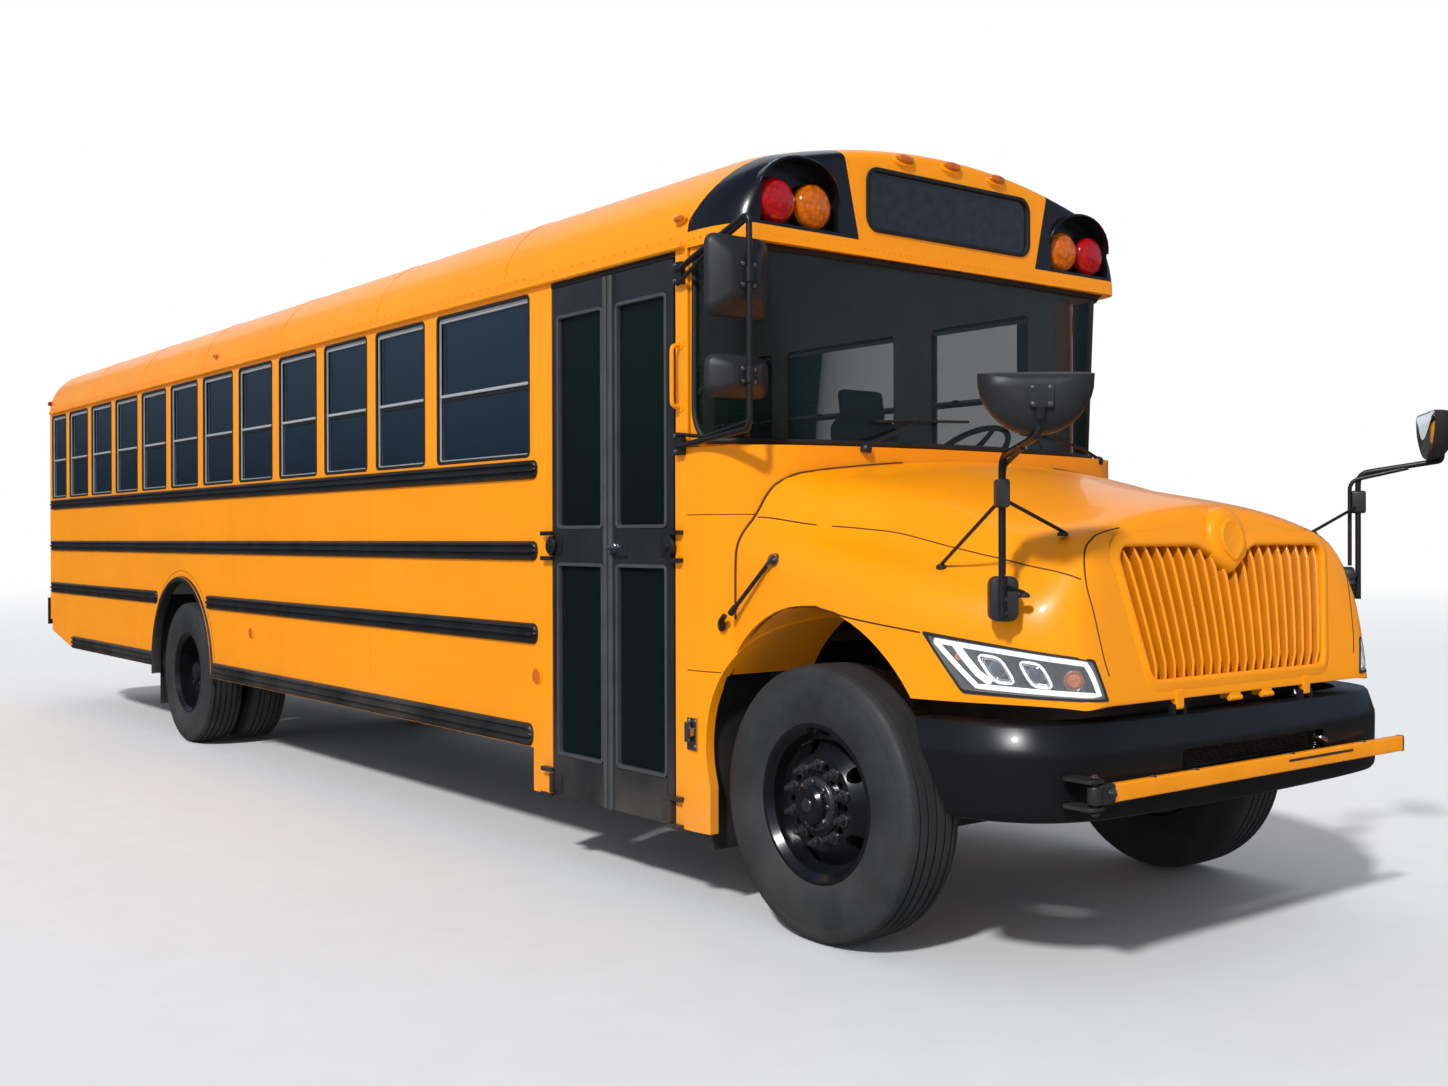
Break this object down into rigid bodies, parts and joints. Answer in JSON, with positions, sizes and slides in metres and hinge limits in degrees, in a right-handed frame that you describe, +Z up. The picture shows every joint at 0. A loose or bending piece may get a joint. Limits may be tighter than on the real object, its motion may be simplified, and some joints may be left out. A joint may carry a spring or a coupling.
{
  "type": "school bus",
  "caption": "Long conventional school bus with a tilting hood ahead of the body, folding entrance door, rub rails, mirrors, stop arm and crossing arm.",
  "frame": {"origin": "on the ground below the centre of the vehicle's box", "axes": "+Y to the rear along the length, +X to the vehicle's left, +Z up"},
  "size_m": [2.815, 12.2122, 3.211],
  "materials": {
    "yellow_paint": "gloss school-bus yellow paint",
    "black_paint": "black paint",
    "glass": "lightly tinted glass",
    "rubber": "black rubber",
    "tyre_rubber": "tyre rubber",
    "chassis_steel": "black chassis paint",
    "cast_parts": "painted casting",
    "interior_trim": "dark seat cover",
    "dash_plastic": "dark grey plastic",
    "floor_rubber": "ribbed floor covering",
    "lamp_lens": "clear lens",
    "red_lens": "red lens",
    "red_paint": "red paint"
  },
  "bodies": {
    "bus_body": {"benches_left": "interior_trim", "benches_right": "interior_trim", "cap_lamps": "black_paint", "chassis_frame": "chassis_steel", "cowl": "yellow_paint", "dashboard": "dash_plastic", "driver_seat": "interior_trim", "driveshaft": "chassis_steel", "engine_block": "cast_parts", "exhaust": "chassis_steel", "floor": "floor_rubber", "front_axle": "cast_parts", "front_bumper": "black_paint", "front_cap": "yellow_paint", "fuel_tank": "chassis_steel", "leaf_springs": "chassis_steel", "mud_flaps": "rubber", "rear_axle": "cast_parts", "rear_bumper": "black_paint", "rear_glass": "glass", "rear_lamps": "red_lens", "rear_wall": "yellow_paint", "roof": "yellow_paint", "rub_rails": "black_paint", "side_mirrors": "black_paint", "side_wall_left": "yellow_paint", "side_wall_right": "yellow_paint", "side_windows_left": "glass", "side_windows_right": "glass", "skirt_left": "yellow_paint", "skirt_right": "yellow_paint", "step_well": "chassis_steel", "wheel_houses": "chassis_steel", "windshield": "glass"},
    "hood": {"hood": "yellow_paint", "headlamps": "lamp_lens", "grille": "yellow_paint", "cross_view_mirrors": "black_paint"},
    "knuckle_right": {"knuckle_right": "cast_parts"},
    "knuckle_left": {"knuckle_left": "cast_parts"},
    "wheel_front_right": {"front_tyre_right": "tyre_rubber", "front_rim_right": "black_paint"},
    "wheel_front_left": {"front_tyre_left": "tyre_rubber", "front_rim_left": "black_paint"},
    "wheel_rear_right": {"rear_tyres_right": "tyre_rubber", "rear_rims_right": "black_paint"},
    "wheel_rear_left": {"rear_tyres_left": "tyre_rubber", "rear_rims_left": "black_paint"},
    "door_leaf_front": {"door_leaf_front": "black_paint"},
    "door_leaf_rear": {"door_leaf_rear": "black_paint"},
    "rear_door": {"rear_door": "yellow_paint"},
    "crossing_arm": {"crossing_arm": "yellow_paint"},
    "stop_arm": {"stop_arm": "red_paint"}
  },
  "joints": [
    {"name": "hood_tilt", "type": "hinge", "parent": "bus_body", "child": "hood", "pos_m": [0, -5.937, 0.925], "axis": [1, 0, 0], "range_deg": [0, 60]},
    {"name": "steer_right", "type": "hinge", "parent": "bus_body", "child": "knuckle_right", "pos_m": [-0.88, -4.877, 0.52], "axis": [0, 0, 1], "range_deg": [-38, 38]},
    {"name": "steer_left", "type": "hinge", "parent": "bus_body", "child": "knuckle_left", "pos_m": [0.88, -4.877, 0.52], "axis": [0, 0, 1], "range_deg": [-38, 38]},
    {"name": "spin_front_right", "type": "hinge", "parent": "knuckle_right", "child": "wheel_front_right", "pos_m": [-1.03, -4.877, 0.52], "axis": [1, 0, 0], "continuous": true},
    {"name": "spin_front_left", "type": "hinge", "parent": "knuckle_left", "child": "wheel_front_left", "pos_m": [1.03, -4.877, 0.52], "axis": [1, 0, 0], "continuous": true},
    {"name": "spin_rear_right", "type": "hinge", "parent": "bus_body", "child": "wheel_rear_right", "pos_m": [-0.897, 2.133, 0.52], "axis": [1, 0, 0], "continuous": true},
    {"name": "spin_rear_left", "type": "hinge", "parent": "bus_body", "child": "wheel_rear_left", "pos_m": [0.897, 2.133, 0.52], "axis": [1, 0, 0], "continuous": true},
    {"name": "entrance_front_hinge", "type": "hinge", "parent": "bus_body", "child": "door_leaf_front", "pos_m": [-1.235, -4.081, 1.478], "axis": [0, 0, 1], "range_deg": [0, 88]},
    {"name": "entrance_rear_hinge", "type": "hinge", "parent": "bus_body", "child": "door_leaf_rear", "pos_m": [-1.235, -3.155, 1.478], "axis": [0, 0, -1], "range_deg": [0, 88]},
    {"name": "rear_door_hinge", "type": "hinge", "parent": "bus_body", "child": "rear_door", "pos_m": [-0.323, 6.016, 1.8], "axis": [0, 0, 1], "range_deg": [0, 110]},
    {"name": "crossing_arm_hinge", "type": "hinge", "parent": "bus_body", "child": "crossing_arm", "pos_m": [-0.975, -6.029, 0.69], "axis": [0, 0, -1], "range_deg": [0, 90]},
    {"name": "stop_arm_hinge", "type": "hinge", "parent": "bus_body", "child": "stop_arm", "pos_m": [1.272, -3.897, 1.64], "axis": [0, 0, -1], "range_deg": [0, 90]}
  ],
  "couplings": [
    {"joint": "steer_left", "follows": "steer_right", "ratio": 1}
  ]
}
